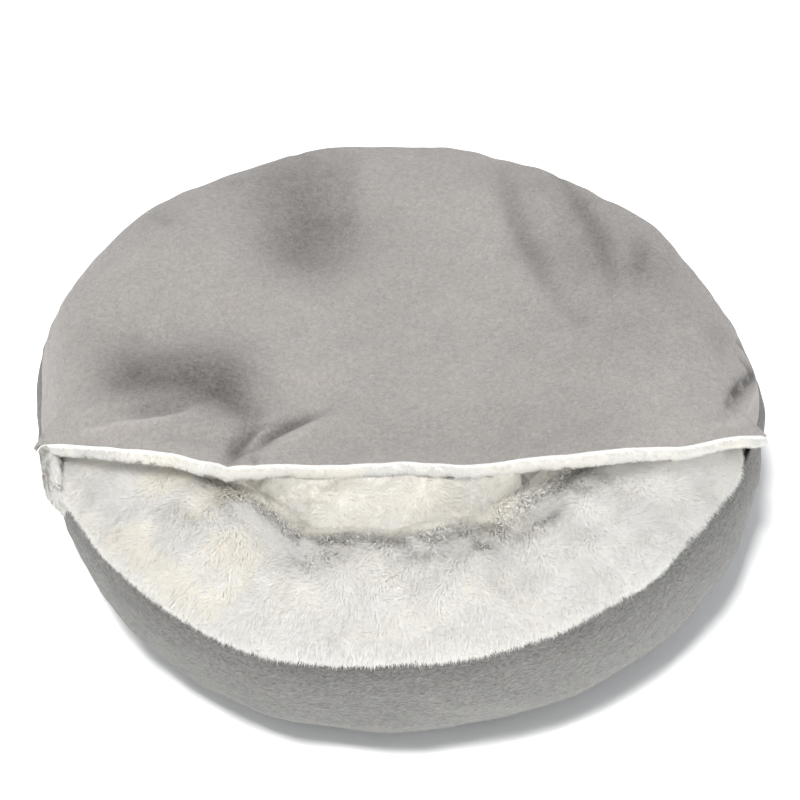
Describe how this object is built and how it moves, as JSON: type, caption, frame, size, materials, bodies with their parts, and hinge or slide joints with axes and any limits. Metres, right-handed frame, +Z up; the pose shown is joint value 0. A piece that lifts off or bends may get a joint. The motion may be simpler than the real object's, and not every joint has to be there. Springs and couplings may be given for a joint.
{
  "type": "hooded pet bed",
  "caption": "Round plush pet bed with a stuffed ring, a centre cushion, a suede wall and a half hood lined with plush that rolls round its hem.",
  "frame": {"origin": "on the floor, on the base's underside, below the middle of the ring", "axes": "+Z up, -Y towards the open front, +X to the right of someone who faces the open front"},
  "size_m": [0.6143, 0.5963, 0.1941],
  "materials": {
    "suede_base": "plain backed suede cloth",
    "suede_wall": "short brushed suede cloth",
    "plush_ring": "long plush pile, white",
    "plush_cushion": "long plush pile, cream",
    "suede_hood": "short brushed suede cloth",
    "plush_lining": "short plush pile, white"
  },
  "bodies": {
    "root": {"base_panel": "suede_base", "wall_panel": "suede_wall", "bolster": "plush_ring", "cushion": "plush_cushion", "hood_shell": "suede_hood", "hood_lining": "plush_lining"}
  },
  "joints": []
}
